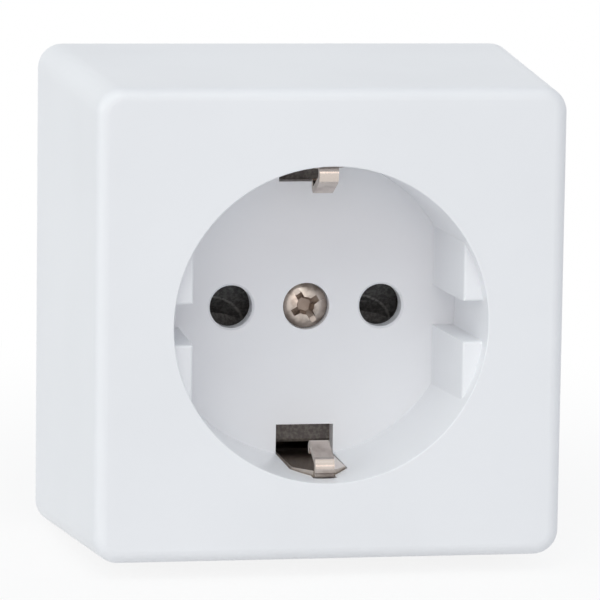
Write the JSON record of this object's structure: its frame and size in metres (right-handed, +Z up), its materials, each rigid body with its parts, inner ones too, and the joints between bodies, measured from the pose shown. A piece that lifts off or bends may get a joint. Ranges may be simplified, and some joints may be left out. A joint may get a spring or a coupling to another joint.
{
  "type": "surface mounted wall socket",
  "caption": "Surface mounted mains socket with a square drafted cover, a round plug recess with side earth clips, shuttered pin holes and a screw-terminal insert on a slotted base plate.",
  "frame": {"origin": "middle of the back of the base plate, on the wall", "axes": "+X to the right seen from the front, +Y into the wall, +Z up"},
  "size_m": [0.0624, 0.04, 0.0624],
  "materials": {
    "white_plastic": "smooth, satin gloss",
    "black_plastic": "moulded, slightly grainy",
    "shutter_black": "moulded, slightly grainy",
    "nickel_strip": "nickel plated, rolled strip with sheared edges",
    "nickel_screw": "nickel plated",
    "brass": "bare, rolled",
    "zinc_steel": "zinc plated",
    "base_plastic": "moulded, fine grain",
    "soft_rubber": "soft, matt"
  },
  "bodies": {
    "socket_body": {"cover": "white_plastic", "cover_screw": "nickel_screw", "cover_bush": "brass", "earth_bracket": "nickel_strip", "shutter_housing": "black_plastic", "shutter_spring": "zinc_steel", "contact_block": "black_plastic", "contact_left": "brass", "contact_right": "brass", "base_plate": "base_plastic", "block_screw_left": "zinc_steel", "block_screw_right": "zinc_steel", "cable_grommet": "soft_rubber", "terminal_left": "zinc_steel", "terminal_screw_left": "zinc_steel", "clamp_plate_left": "zinc_steel", "terminal_right": "zinc_steel", "terminal_screw_right": "zinc_steel", "clamp_plate_right": "zinc_steel", "terminal_earth": "zinc_steel", "terminal_screw_earth": "zinc_steel", "clamp_plate_earth": "zinc_steel"},
    "shutter_slide": {"shutter": "shutter_black"}
  },
  "joints": [
    {"name": "shutter_travel", "type": "slide", "parent": "socket_body", "child": "shutter_slide", "axis": [0, 0, 1], "range_m": [0, 0.0058], "stiffness_N_per_m": 80, "springref_m": -0.004, "deforming": ["shutter_spring"]}
  ]
}
